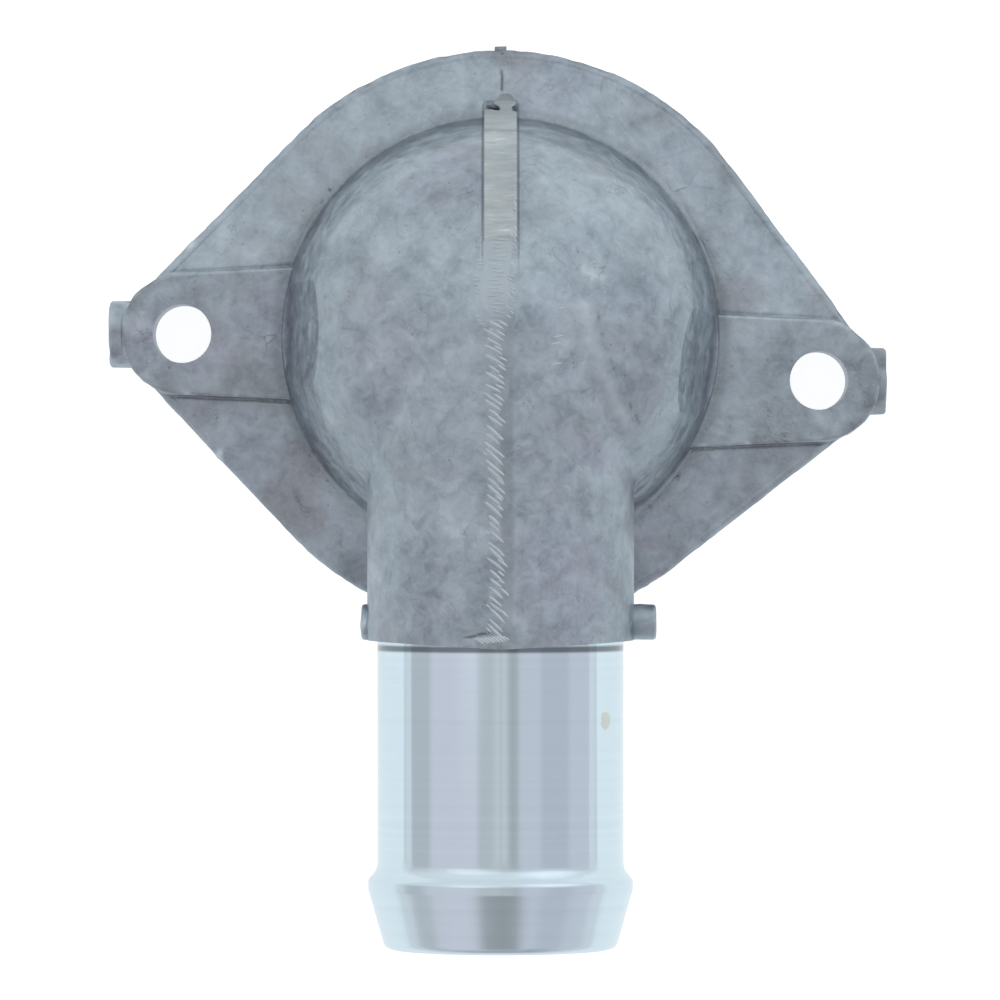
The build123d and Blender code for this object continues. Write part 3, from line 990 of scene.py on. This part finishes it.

# %% [markdown]
# ## Cast skin: the valley and the flow marks
# The valley round the dome's foot gets painted shade, and flow marks lie all over. A mask by distance
# from the dome's axis finds the valley without painting a mask.

# %% Cast skin: painted shade in the valley round the dome, and flow marks
VALLEY_RADIUS, VALLEY_WIDTH, VALLEY_TOP = 0.0288, 0.0020, 0.0135
VALLEY_SHADE, SOOT = (0.17, 0.19, 0.21), (0.14, 0.13, 0.13)
low_down = math_node(tree, "LESS_THAN", parts["Z"], VALLEY_TOP)
valley = times(tree, soft_band(tree, distance_in_plan(tree, place), VALLEY_RADIUS, VALLEY_WIDTH), low_down)
# Painted shade in the valley round the dome's foot.
colour = cover(tree, colour, valley, 0.35, VALLEY_SHADE)
marks = add_group(tree, flow_marks, Vector=place, Scale=260.0, Amount=0.66)
dark = math_node(tree, "MAXIMUM", marks["Cracks"], times(tree, marks["Specks"], 0.7))
dark = math_node(tree, "MAXIMUM", dark, times(tree, marks["Rings"], 0.45))
colour = cover(tree, colour, dark, 0.55, SOOT)
print("with valley and flow marks:", len(tree.nodes), "nodes")

# %% [markdown]
# ## Cast skin: where the belt lifted off
# The ground strip fades out on the dome without an edge. A second material would end at a sharp line,
# so the strip's pale tint is laid over the cast skin and its border is frayed by the clouds.

# %% Cast skin: the ground strip fading out on the dome, with a ragged edge
STRIP_MIDDLE, STRIP_REACH, STRIP_RAGGED = -0.0007, 0.0019, 0.0010
FADE_MIDDLE, FADE_REACH = 0.0090, 0.0082
DOME_FACES_UP = 0.025
BELT_GREY = (0.46, 0.525, 0.55)
on_top = math_node(tree, "GREATER_THAN", parts["Z"], DOME_FACES_UP)
ragged_edge = times(tree, math_node(tree, "SUBTRACT", small["Clouds"], 0.5), STRIP_RAGGED)
off_strip = math_node(tree, "ABSOLUTE", math_node(tree, "ADD", parts["X"], -STRIP_MIDDLE))
in_strip = math_node(tree, "LESS_THAN", math_node(tree, "ADD", off_strip, ragged_edge), STRIP_REACH)
faded_strip = times(tree, in_strip, soft_band(tree, parts["Y"], FADE_MIDDLE, FADE_REACH), on_top)
colour = cover(tree, colour, faded_strip, 0.65, BELT_GREY)
print("with the faded strip:", len(tree.nodes), "nodes")

# %% [markdown]
# ## Cast skin: painted shade along edges
# Shade is painted beside the slivers and along the strip's foot. An ambient occlusion node could find
# such places, but it costs render time, and soft bands along X and Y do the same here.

# %% Cast skin: painted shade beside the slivers and beside the ground strip
SLIVERS_X, SLIVERS_Y = (0.0008, 0.0012), (-0.0180, 0.0260)  # middle and half width of each band
STRIP_EDGE_X, STRIP_Y, STRIP_END = (0.00232, 0.00022), (0.0215, 0.0165), 0.0308
PAINTED_SHADE, DEEP_PAINTED_SHADE = (0.16, 0.16, 0.17), (0.10, 0.11, 0.12)
# Painted shade beside the slivers.
shade_beside_slivers = times(
    tree, soft_band(tree, parts["X"], *SLIVERS_X), small["Clouds"], on_top,
    soft_band(tree, parts["Y"], *SLIVERS_Y))
colour = cover(tree, colour, shade_beside_slivers, 0.5, PAINTED_SHADE)
# Painted shade at the foot of the ground strip's sides.
sideways = math_node(tree, "ABSOLUTE", parts["X"])
shade_beside_strip = times(
    tree, soft_band(tree, sideways, *STRIP_EDGE_X), soft_band(tree, parts["Y"], *STRIP_Y),
    math_node(tree, "LESS_THAN", parts["Y"], STRIP_END))
colour = cover(tree, colour, shade_beside_strip, 0.6, DEEP_PAINTED_SHADE)
print("with dirt:", len(tree.nodes), "nodes")

# %% [markdown]
# ## Cast skin: grooves, bare metal, painted shade and highlights, and grain
# The marks that were pressed in left two values at every point of the mesh: how dark it is, from grooves
# and from painted shade at the pads' feet, and how bright, from bare metal and from painted highlights.
# The material reads them, so the colour fits the shape. A fine grain and pores roughen the light on top.

# %% Cast skin: grooves, bare metal, painted shade and painted highlights, from the values stored at the mesh's points
GROOVE_AND_SHADE_BLACK, BARE_METAL_AND_HIGHLIGHT, SPARKLE = (0.09, 0.09, 0.10), (0.66, 0.75, 0.78), (0.66, 0.72, 0.75)
for stored, tint in (("dark_groove_and_shade", GROOVE_AND_SHADE_BLACK), ("bare_metal_and_highlight", BARE_METAL_AND_HIGHLIGHT)):
    at_points = node(tree, "ShaderNodeAttribute", {"attribute_name": stored}).outputs["Fac"]
    colour = cover(tree, colour, at_points, 0.8, tint)
sparkle = math_node(tree, "SUBTRACT", middling["Grain"], 0.5)
sparkle = math_node(tree, "MULTIPLY", sparkle, 0.6, clamp=True)
colour = mix_colour(tree, sparkle, colour, SPARKLE)
rough = math_node(tree, "MULTIPLY_ADD", small["Clouds"], 0.22, 0.36)
tree.links.new(rough, shader.inputs["Roughness"])
relief = math_node(tree, "ADD", middling["Height"], times(tree, small["Grain"], 0.6))
link_shader(cast, shader, colour, relief, strength=0.7, deepest=0.00006)

# %% [markdown]
# ## Turned neck
# The neck was turned on a lathe, so it is bright and smooth, with lines round its axis. Lines drawn
# along Y do that without any unwrapping. A pale spot, a painted shadow under the shoulder and a
# rougher bead at the mouth keep it from looking like chrome.

# %% Turned neck
SPOT, SPOT_OUTER, SPOT_INNER = (0.01345, -0.0498, 0.0304), 0.0020, 0.0016
BEAD_START, BEAD_END = -0.0672, -0.0692
UNDER_SHOULDER, UNDER_SHOULDER_WIDTH = -0.04055, 0.00060
LINE_GREY, HANDLED = (0.50, 0.60, 0.66), (0.50, 0.56, 0.56)
SPOT_TINT, SHADOW = (0.60, 0.62, 0.53), (0.08, 0.09, 0.10)
turned, tree, shader, place = new_material("turned_neck", metallic=1.0, roughness=0.09)
parts = along_axes(tree, place)
lines = add_group(tree, fine_lines, Across=parts["Y"], Per_millimetre=7.0)
colour = mix_colour(tree, lines["Bands"], (0.59, 0.71, 0.77), (0.65, 0.77, 0.82))
colour = cover(tree, colour, lines["Lines"], 0.10, LINE_GREY)
handling = add_group(tree, mottling, Vector=place, Scale=260.0)
colour = cover(tree, colour, handling["Stains"], 0.06, HANDLED)
off_spot = vector_math(tree, "DISTANCE", place, SPOT)["Value"]
off_spot = math_node(tree, "MULTIPLY_ADD", handling["Grain"], 0.0012, off_spot)
spot_mask = fade(tree, off_spot, SPOT_OUTER, SPOT_INNER)
colour = cover(tree, colour, spot_mask, 0.75, SPOT_TINT)
# Painted shadow under the shoulder.
under_shoulder = soft_band(tree, parts["Y"], UNDER_SHOULDER, UNDER_SHOULDER_WIDTH)
colour = cover(tree, colour, under_shoulder, 0.8, SHADOW)
at_bead = node(tree, "ShaderNodeMapRange", Value=parts["Y"], From_Min=BEAD_START, From_Max=BEAD_END,
               To_Min=0.085, To_Max=0.20)
rough = math_node(tree, "MULTIPLY_ADD", spot_mask, 0.30, at_bead.outputs[0])
tree.links.new(rough, shader.inputs["Roughness"])
link_shader(turned, shader, colour, lines["Lines"], strength=0.12, deepest=0.00001)

# %% [markdown]
# ## Ground gate strip
# The gate was ground off with a belt that ran across it. That leaves scratches along X, some bright
# and some dark, and the strip is darker along each edge. The noise is squeezed along Y, which draws it
# out into scratches.

# %% Ground gate strip
SCRATCH_SCALE, STREAK_SCALE = (330.0, 2600.0, 330.0), (150.0, 700.0, 150.0)
STRIP_STAIN, FRESH_CUT, OLD_CUT = (0.42, 0.40, 0.37), (0.72, 0.77, 0.78), (0.22, 0.23, 0.23)
EDGE_DARK, EDGE_DARK_WIDTH = (0.12, 0.12, 0.13), 0.00018
ground, tree, shader, place = new_material("ground_gate", metallic=0.9, roughness=0.42)
scratch_place = vector_math(tree, "MULTIPLY", place, SCRATCH_SCALE)[0]
streak_place = vector_math(tree, "MULTIPLY", place, STREAK_SCALE)[0]
scratch = noise(tree, scratch_place, 1.0, Detail=3.0, Roughness=0.6, Distortion=0.5)
streak = ramp(tree, noise(tree, streak_place, 1.0, Detail=3.0, Roughness=0.6), ((0.35, 0.0), (0.65, 1.0)))
mottle = add_group(tree, mottling, Vector=place, Scale=190.0)
colour = mix_colour(tree, streak, (0.365, 0.415, 0.43), (0.475, 0.53, 0.545))
colour = cover(tree, colour, mottle["Stains"], 0.35, STRIP_STAIN)
bright_cut = ramp(tree, scratch, ((0.60, 0.0), (0.70, 1.0)))
colour = cover(tree, colour, bright_cut, 0.5, FRESH_CUT)
dark_cut = ramp(tree, scratch, ((0.30, 1.0), (0.40, 0.0)))
colour = cover(tree, colour, dark_cut, 0.45, OLD_CUT)
sideways = math_node(tree, "ABSOLUTE", along_axes(tree, place)["X"])
# A darker band along each edge of the strip.
strip_edge = soft_band(tree, sideways, GATE_HALF_WIDTH * MM, EDGE_DARK_WIDTH)
colour = cover(tree, colour, strip_edge, 0.6, EDGE_DARK)
link_shader(ground, shader, colour, scratch, strength=0.5, deepest=0.00005)

# %% [markdown]
# ## Milled joint face
# A milling cutter swings over the joint face and leaves wide arcs. Straight lines would be easier to
# draw, but the distance from a point beside the part gives arcs at no extra cost.

# %% Milled joint face
CUTTER_AXIS_AWAY = (0.09, 0.02, 0.0)
milled, tree, shader, place = new_material("milled_joint", metallic=0.95, roughness=0.32)
from_cutter = vector_math(tree, "ADD", place, CUTTER_AXIS_AWAY)[0]
swirl = vector_math(tree, "LENGTH", from_cutter)["Value"]
lines = add_group(tree, fine_lines, Across=swirl, Per_millimetre=3.0)["Lines"]
colour = mix_colour(tree, lines, (0.55, 0.58, 0.62), (0.74, 0.77, 0.80))
link_shader(milled, shader, colour, lines, strength=0.4, deepest=0.00004)

# %% [markdown]
# ## Bolt hole walls
# A drill leaves rings in its hole, which are lines along Z. The walls are small and dark in the
# picture, so the tool lines alone are enough.

# %% Bolt hole walls
drilled, tree, shader, place = new_material("bolt_hole_wall", metallic=0.9, roughness=0.42)
lines = add_group(tree, fine_lines, Across=along_axes(tree, place)["Z"], Per_millimetre=5.0)["Lines"]
colour = mix_colour(tree, lines, (0.45, 0.49, 0.54), (0.62, 0.66, 0.71))
link_shader(drilled, shader, colour, lines, strength=0.4, deepest=0.00005)

# %% [markdown]
# ## Slivers of flash
# The slivers are torn metal, brighter than the skin and duller than a cut. They could share the cast
# skin, but then its wide clouds would swallow them, so they have a fine grain of their own. With that
# the mesh gets all six materials.

# %% Slivers, and the materials on the mesh
burr_metal, tree, shader, place = new_material("burr_metal", metallic=1.0, roughness=0.40)
mottle = add_group(tree, mottling, Vector=place, Scale=700.0)
colour = mix_colour(tree, mottle["Grain"], (0.37, 0.42, 0.45), (0.58, 0.635, 0.655))
link_shader(burr_metal, shader, colour, mottle["Height"], strength=0.4, deepest=0.00002)
for material in (cast, turned, ground, milled, drilled, burr_metal):
    skin.materials.append(material)
skin.polygons.foreach_set("material_index", finish_of.astype(np.int32))
print("materials:", [m.name for m in skin.materials])

# %% [markdown]
# ## Floor
# The photograph has a white ground, and the housing lies on it. The world could be white instead, but
# a floor takes the shadow that makes the housing lie flat. It glows a little towards the camera, so
# that it shows white, and bright metal sees it as a table with a dark edge.

# %% Floor
HALF_WIDTH, BELOW_JOINT_FACE = 1.5, -0.0001
SIDES = ((-1, -1), (1, -1), (1, 1), (-1, 1))
corners = [(across * HALF_WIDTH, along * HALF_WIDTH, BELOW_JOINT_FACE) for across, along in SIDES]
floor_mesh = bpy.data.meshes.new("studio_floor")
floor_mesh.from_pydata(corners, [], [(0, 1, 2, 3)])
floor = bpy.data.objects.new("studio_floor", floor_mesh)
bpy.context.scene.collection.objects.link(floor)
print("floor", 2 * HALF_WIDTH, "m wide")

# %% Floor paper: white to the camera, and a table with a dark edge to reflections
TABLE_EDGE = (
    (0.34, (0.70, 0.725, 0.735)), (0.365, (0.34, 0.36, 0.38)),
    (0.39, (0.34, 0.35, 0.36)), (0.42, (0.50, 0.49, 0.51)),
)
floor_material, tree, shader, place = new_material("pale_floor", metallic=0.0, roughness=0.9)
shader.inputs["Base Color"].default_value = (0.60, 0.60, 0.60, 1)
paper = add_group(tree, mottling, Vector=place, Scale=40.0)
pale = mix_colour(tree, paper["Grain"], (0.97, 0.98, 0.98), (1.0, 1.0, 1.0))
table = ramp(tree, times(tree, distance_in_plan(tree, place), 2.0), TABLE_EDGE)
rays = tree.nodes.new("ShaderNodeLightPath").outputs
seen_plainly = math_node(tree, "MAXIMUM", rays["Is Camera Ray"], rays["Is Transmission Ray"])
tree.links.new(mix_colour(tree, seen_plainly, table, pale), shader.inputs["Emission Color"])
seen = math_node(tree, "MAXIMUM", seen_plainly, rays["Is Glossy Ray"])
tree.links.new(times(tree, seen, 0.86), shader.inputs["Emission Strength"])
floor_mesh.materials.append(floor_material)
print("pale_floor:", len(tree.nodes), "nodes")

# %% [markdown]
# ## A tent of light
# Bright metal shows what stands round it. The stripes on the neck are the panels and gaps of a tent
# of white cloth. A studio picture could be wrapped round the scene, but a colour ramp by direction is
# easier to tune, and only reflections see it.

# %% World: bands of the tent, from one side over the top to the other
GAP, LEFT_PANEL, RIGHT_PANEL = (0.64, 0.63, 0.65), (0.81, 0.757, 0.825), (0.755, 0.725, 0.79)
SEAM, DIM, SHADE = (0.84, 0.82, 0.83), (0.56, 0.545, 0.555), (0.66, 0.64, 0.70)
TENT = (
    (0.24, GAP), (0.302, GAP), (0.314, LEFT_PANEL), (0.436, LEFT_PANEL),
    (0.447, (0.66, 0.645, 0.655)), (0.476, (0.67, 0.655, 0.665)), (0.483, SEAM), (0.490, DIM), (0.510, DIM),
    (0.519, SEAM), (0.528, (0.53, 0.515, 0.525)), (0.542, (0.58, 0.565, 0.575)), (0.552, RIGHT_PANEL),
    (0.600, RIGHT_PANEL), (0.612, SHADE), (0.680, SHADE), (0.692, RIGHT_PANEL),
)
world = bpy.data.worlds.new("studio_tent")
bpy.context.scene.world = world
world.use_nodes = True
tree = world.node_tree
direction = tree.nodes.new("ShaderNodeTexCoord").outputs["Generated"]
aim = along_axes(tree, direction)
half_turns = times(tree, math_node(tree, "ARCTAN2", aim["X"], aim["Z"]), 0.5 / math.pi)
tent_colour = ramp(tree, math_node(tree, "ADD", half_turns, 0.5), TENT)
print("studio bands:", len(TENT))


# %% [markdown]
# ## Windows in the tent
# The upper left and the right of the dome catch brighter light, and the side towards the viewer stays
# darker. More lamps could do it. Round patches in the tent work on rough and smooth metal alike.

# %% World: windows and dark places of the tent
def toward(tree, direction, place, inner, outer):
    """1 inside a round patch of the tent about a direction, and 0 outside it."""
    return fade(tree, vector_math(tree, "DISTANCE", direction, place)["Value"], outer, inner)


DARK_CLOTH, LOW_CLOTH, FAR_CLOTH = (0.36, 0.35, 0.36), (0.35, 0.36, 0.38), (0.98, 1.0, 1.03)
LEFT_LIGHT, RIGHT_LIGHT = (1.16, 1.18, 1.20), (1.22, 1.25, 1.29)
dark_side = toward(tree, direction, (0.0, -0.58, 0.81), inner=0.14, outer=0.42)
low_front = toward(tree, direction, (0.0, -1.0, 0.1), inner=0.2, outer=0.75)
far_wall = fade(tree, aim["Y"], outer=0.02, inner=0.50, most=0.8)
left_window = toward(tree, direction, (-0.42, 0.42, 0.80), inner=0.12, outer=0.50)
right_window = toward(tree, direction, (0.63, 0.59, 0.50), inner=0.15, outer=0.62)
tent_colour = cover(tree, tent_colour, dark_side, 0.85, DARK_CLOTH)
tent_colour = cover(tree, tent_colour, low_front, 0.6, LOW_CLOTH)
tent_colour = mix_colour(tree, far_wall, tent_colour, FAR_CLOTH)
tent_colour = cover(tree, tent_colour, left_window, 0.8, LEFT_LIGHT)
tent_colour = cover(tree, tent_colour, right_window, 0.93, RIGHT_LIGHT)
rays = tree.nodes.new("ShaderNodeLightPath").outputs
plain = math_node(tree, "MAXIMUM", rays["Is Camera Ray"], rays["Is Transmission Ray"])
ROOM_LIGHT = (0.60, 0.61, 0.63)
lit = mix_colour(tree, rays["Is Glossy Ray"], ROOM_LIGHT, tent_colour)
background = tree.nodes["Background"]
tree.links.new(mix_colour(tree, plain, lit, (1, 1, 1)), background.inputs["Color"])
background.inputs["Strength"].default_value = 1.0
print("studio_tent:", len(tree.nodes), "nodes")


# %% [markdown]
# ## Lamps
# Soft boxes beside and behind the part lift its edges a little. Small lamps would draw hard shadows
# and bright points on the neck, so these are wide, weak and hidden from reflections.

# %% Lamps
def soft_lamp(name, place, size, power):
    """A soft box turned to the middle of the part. Glossy rays pass through it."""
    lamp = bpy.data.lights.new(name, "AREA")
    lamp.shape = "RECTANGLE"
    lamp.size, lamp.size_y = size
    lamp.energy = power
    made = bpy.data.objects.new(name, lamp)
    made.location = place
    made.rotation_mode = "QUATERNION"
    made.rotation_quaternion = (-Vector(place)).to_track_quat("-Z", "Y")
    made.visible_glossy = False
    bpy.context.scene.collection.objects.link(made)
    print(name, "of", power, "W")


soft_lamp("left_softbox", place=(-0.75, 0.1, 0.35), size=(0.5, 0.9), power=0.3)
soft_lamp("right_softbox", place=(0.75, 0.1, 0.35), size=(0.5, 0.9), power=0.4)
soft_lamp("far_softbox", place=(0.12, 0.8, 0.5), size=(0.5, 0.25), power=1.6)

# %% [markdown]
# ## Camera
# The photograph looks straight down from far away, so upright walls hardly show. A camera without
# perspective would be close, but higher parts do look a little larger, so this is a long lens 1 m up.

# %% Camera, straight above the part
camera_data = bpy.data.cameras.new("photo_camera")
camera_data.lens = 271.2
camera_data.sensor_width = 36.0
camera_data.clip_start, camera_data.clip_end = 0.05, 10.0
camera = bpy.data.objects.new("photo_camera", camera_data)
camera.location = (-0.00007, -0.0214, 1.0)
bpy.context.scene.collection.objects.link(camera)
bpy.context.scene.camera = camera
bpy.context.scene.view_settings.view_transform = "Standard"
print("camera with a lens of", camera_data.lens, "mm at", tuple(camera.location))
